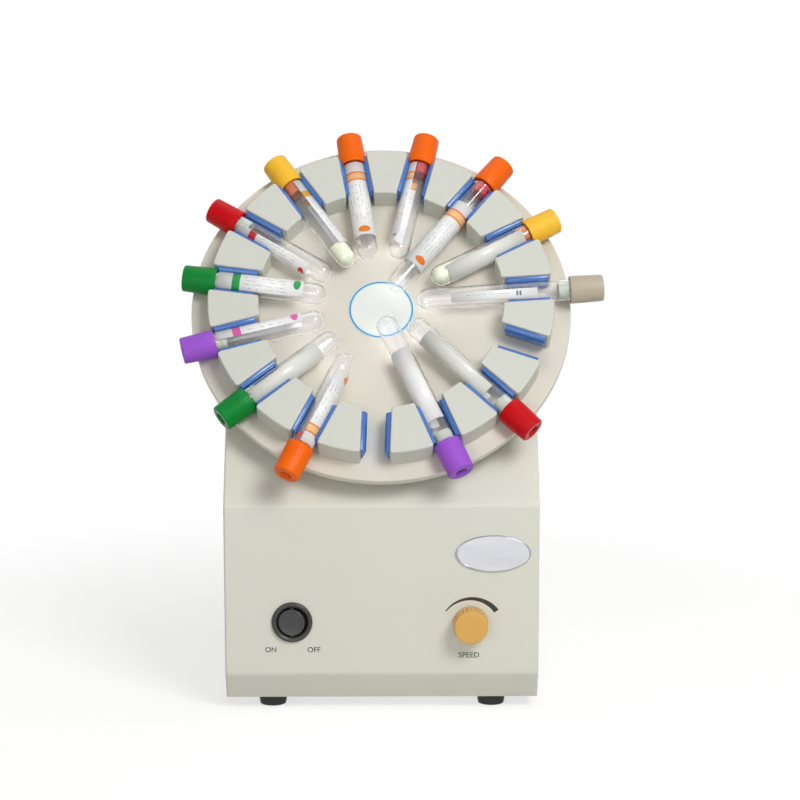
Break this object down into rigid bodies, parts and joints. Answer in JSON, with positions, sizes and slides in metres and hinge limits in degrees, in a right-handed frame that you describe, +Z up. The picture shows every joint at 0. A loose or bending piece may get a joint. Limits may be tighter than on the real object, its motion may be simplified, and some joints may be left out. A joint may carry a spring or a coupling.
{
  "type": "tube rotator",
  "caption": "Bench-top blood tube rotator: an inclined motor-driven wheel with gripped radial tube slots on a wedge-shaped case with a rocker switch and a speed knob.",
  "frame": {"origin": "centre of the base plate's underside, 7 mm above the bench on the rubber feet", "axes": "+Z up; the control panel faces -Y; +X to the operator's right; the wheel's axis leans back from -Y towards +Z"},
  "size_m": [0.2511, 0.228, 0.3333],
  "materials": {
    "housing_paint": "fine-textured warm light grey enamel",
    "zinc_plate": "zinc-plated steel sheet",
    "steel": "turned steel",
    "screw_steel": "zinc-plated screws",
    "aluminium": "turned aluminium",
    "foot_rubber": "matt black rubber",
    "disc_plastic": "moulded warm light grey plastic",
    "block_plastic": "moulded light grey plastic",
    "grip_rubber": "glossy blue elastomer",
    "label_print": "printed film with a blue ring",
    "badge_metal": "blank silver plate",
    "black_plastic": "black switch and inlet plastic",
    "knob_plastic": "tan yellow plastic",
    "board": "green circuit board",
    "standoff_nylon": "white nylon",
    "tube_clear": "clear tube",
    "cap_orange": "orange cap",
    "cap_yellow": "yellow cap",
    "cap_grey": "grey cap",
    "cap_red": "red cap",
    "cap_purple": "purple cap",
    "cap_green": "green cap"
  },
  "bodies": {
    "base": {"housing_shell": "housing_paint", "base_plate": "zinc_plate", "rear_panel": "housing_paint", "rubber_feet": "foot_rubber", "foot_screws": "screw_steel", "case_screws": "screw_steel", "bearing_housing": "aluminium", "spindle_bearings": "steel", "bearing_screws": "screw_steel", "motor_plate": "zinc_plate", "motor_pillars": "steel", "pillar_screws": "screw_steel", "gearbox": "steel", "motor": "steel", "switch_body": "black_plastic", "speed_control": "aluminium", "control_nut": "screw_steel", "badge": "badge_metal", "control_board": "board", "board_standoffs": "standoff_nylon", "power_inlet": "black_plastic"},
    "wheel": {"turntable": "disc_plastic", "holder_blocks": "block_plastic", "slot_grips": "grip_rubber", "block_screws": "screw_steel", "centre_label": "label_print", "hub": "aluminium", "hub_screws": "screw_steel", "spindle": "steel", "shaft_coupling": "aluminium", "gearbox_shaft": "steel"},
    "rocker": {"rocker": "black_plastic"},
    "speed_knob": {"speed_knob": "knob_plastic", "control_shaft": "aluminium"},
    "blood_tube_01": {"tube_01": "tube_clear", "cap_01": "cap_orange"},
    "blood_tube_02": {"tube_02": "tube_clear", "cap_02": "cap_orange"},
    "blood_tube_03": {"tube_03": "tube_clear", "cap_03": "cap_orange"},
    "blood_tube_04": {"tube_04": "tube_clear", "cap_04": "cap_yellow"},
    "blood_tube_05": {"tube_05": "tube_clear", "cap_05": "cap_grey"},
    "blood_tube_07": {"tube_07": "tube_clear", "cap_07": "cap_red"},
    "blood_tube_08": {"tube_08": "tube_clear", "cap_08": "cap_purple"},
    "blood_tube_10": {"tube_10": "tube_clear", "cap_10": "cap_orange"},
    "blood_tube_11": {"tube_11": "tube_clear", "cap_11": "cap_green"},
    "blood_tube_12": {"tube_12": "tube_clear", "cap_12": "cap_purple"},
    "blood_tube_13": {"tube_13": "tube_clear", "cap_13": "cap_green"},
    "blood_tube_14": {"tube_14": "tube_clear", "cap_14": "cap_red"},
    "blood_tube_15": {"tube_15": "tube_clear", "cap_15": "cap_yellow"}
  },
  "joints": [
    {"name": "wheel_spin", "type": "hinge", "parent": "base", "child": "wheel", "pos_m": [0, -0.04286, 0.22447], "axis": [0, -0.7986, 0.6018], "continuous": true},
    {"name": "rocker_switch", "type": "hinge", "parent": "base", "child": "rocker", "pos_m": [-0.0525, -0.0995, 0.048], "axis": [0, 0, 1], "range_deg": [0, 18]},
    {"name": "speed_turn", "type": "hinge", "parent": "base", "child": "speed_knob", "pos_m": [0.0519, -0.1, 0.0474], "axis": [0, -1, 0], "range_deg": [-150, 150]},
    {"name": "tube_01_slide", "type": "slide", "parent": "wheel", "child": "blood_tube_01", "axis": [-0.1444, 0.5955, 0.7903], "range_m": [0, 0.076]},
    {"name": "tube_02_slide", "type": "slide", "parent": "wheel", "child": "blood_tube_02", "axis": [0.2181, 0.5873, 0.7794], "range_m": [0, 0.075]},
    {"name": "tube_03_slide", "type": "slide", "parent": "wheel", "child": "blood_tube_03", "axis": [0.6184, 0.4729, 0.6276], "range_m": [0, 0.096]},
    {"name": "tube_04_slide", "type": "slide", "parent": "wheel", "child": "blood_tube_04", "axis": [0.8755, 0.2908, 0.386], "range_m": [0, 0.073]},
    {"name": "tube_05_slide", "type": "slide", "parent": "wheel", "child": "blood_tube_05", "axis": [0.9973, 0.0441, 0.0585], "range_m": [0, 0.085]},
    {"name": "tube_07_slide", "type": "slide", "parent": "wheel", "child": "blood_tube_07", "axis": [0.6972, -0.4314, -0.5726], "range_m": [0, 0.085]},
    {"name": "tube_08_slide", "type": "slide", "parent": "wheel", "child": "blood_tube_08", "axis": [0.4051, -0.5502, -0.7302], "range_m": [0, 0.097]},
    {"name": "tube_10_slide", "type": "slide", "parent": "wheel", "child": "blood_tube_10", "axis": [-0.4131, -0.5481, -0.7273], "range_m": [0, 0.066]},
    {"name": "tube_11_slide", "type": "slide", "parent": "wheel", "child": "blood_tube_11", "axis": [-0.7727, -0.382, -0.5069], "range_m": [0, 0.072]},
    {"name": "tube_12_slide", "type": "slide", "parent": "wheel", "child": "blood_tube_12", "axis": [-0.9681, -0.1507, -0.2], "range_m": [0, 0.071]},
    {"name": "tube_13_slide", "type": "slide", "parent": "wheel", "child": "blood_tube_13", "axis": [-0.9905, 0.0827, 0.1098], "range_m": [0, 0.074]},
    {"name": "tube_14_slide", "type": "slide", "parent": "wheel", "child": "blood_tube_14", "axis": [-0.8368, 0.3295, 0.4373], "range_m": [0, 0.072]},
    {"name": "tube_15_slide", "type": "slide", "parent": "wheel", "child": "blood_tube_15", "axis": [-0.5519, 0.5018, 0.666], "range_m": [0, 0.075]}
  ]
}
